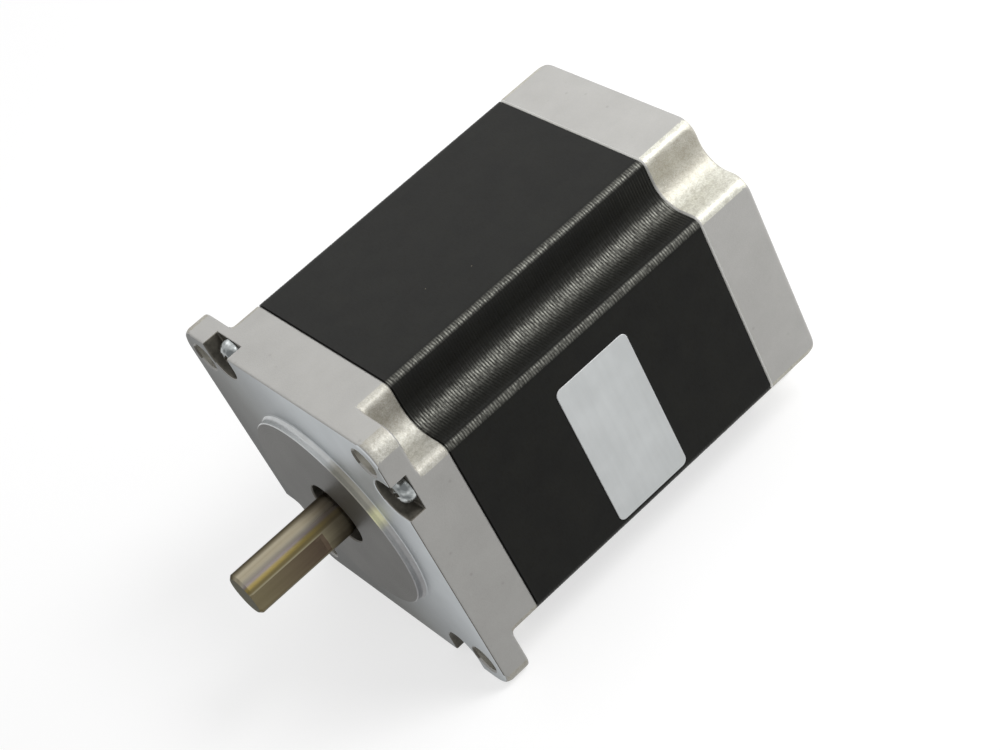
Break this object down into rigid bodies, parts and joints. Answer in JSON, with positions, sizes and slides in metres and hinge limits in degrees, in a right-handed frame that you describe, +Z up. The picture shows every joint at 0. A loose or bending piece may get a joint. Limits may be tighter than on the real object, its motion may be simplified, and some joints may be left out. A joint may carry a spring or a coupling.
{
  "type": "stepper motor",
  "caption": "Square-flanged hybrid stepper motor with notched laminated stator, cast end covers, round pilot and a flatted output shaft on ball bearings.",
  "frame": {"origin": "centre of the mounting hole pattern, on the mounting face, on the shaft axis", "axes": "+Y runs along the shaft axis from the mounting face into the motor, so the free shaft end points to -Y; +X is the side with the label; +Z is up with the motor lying on its side"},
  "size_m": [0.0565, 0.0975, 0.0564],
  "materials": {
    "cast_cover": "satin, machined front face",
    "lacquered_stack": "matte black lacquer over laminations",
    "ground_steel": "ground",
    "zinc_screw": "bright zinc",
    "rating_label": "bare metallised film",
    "black_rubber": "matte",
    "rotor_steel": "ground laminations",
    "magnet": "nickel plated",
    "spacer_brass": "turned",
    "bearing_steel": "polished",
    "cage_steel": "satin",
    "spring_steel": "satin",
    "moulded_insulator": "glass filled nylon",
    "board": "solder masked laminate",
    "copper_winding": "enamelled copper wire"
  },
  "bodies": {
    "housing": {"front_cover": "cast_cover", "rear_cover": "cast_cover", "stator_core": "lacquered_stack", "assembly_screws": "zinc_screw", "label": "rating_label", "lead_grommet": "black_rubber", "wave_washer": "spring_steel", "front_insulator": "moulded_insulator", "rear_insulator": "moulded_insulator", "connection_board": "board", "coil_1": "copper_winding", "coil_2": "copper_winding", "coil_3": "copper_winding", "coil_4": "copper_winding", "coil_5": "copper_winding", "coil_6": "copper_winding", "coil_7": "copper_winding", "coil_8": "copper_winding", "front_outer_ring": "bearing_steel", "front_shields": "bearing_steel", "rear_outer_ring": "bearing_steel", "rear_shields": "bearing_steel"},
    "rotor": {"shaft": "ground_steel", "front_magnet": "magnet", "rear_magnet": "magnet", "rotor_spacer": "spacer_brass", "front_inner_ring": "bearing_steel", "rear_inner_ring": "bearing_steel", "rotor_cup_1": "rotor_steel", "rotor_cup_2": "rotor_steel", "rotor_cup_3": "rotor_steel", "rotor_cup_4": "rotor_steel"},
    "front_ball_set": {"front_balls": "bearing_steel", "front_cage": "cage_steel"},
    "rear_ball_set": {"rear_balls": "bearing_steel", "rear_cage": "cage_steel"}
  },
  "joints": [
    {"name": "rotor_spin", "type": "hinge", "parent": "housing", "child": "rotor", "pos_m": [0, 0, 0], "axis": [0, -1, 0], "continuous": true},
    {"name": "front_balls_spin", "type": "hinge", "parent": "housing", "child": "front_ball_set", "pos_m": [0, 0, 0], "axis": [0, -1, 0], "continuous": true},
    {"name": "rear_balls_spin", "type": "hinge", "parent": "housing", "child": "rear_ball_set", "pos_m": [0, 0, 0], "axis": [0, -1, 0], "continuous": true}
  ],
  "couplings": [
    {"joint": "front_balls_spin", "follows": "rotor_spin", "ratio": 0.3677},
    {"joint": "rear_balls_spin", "follows": "rotor_spin", "ratio": 0.3677}
  ]
}
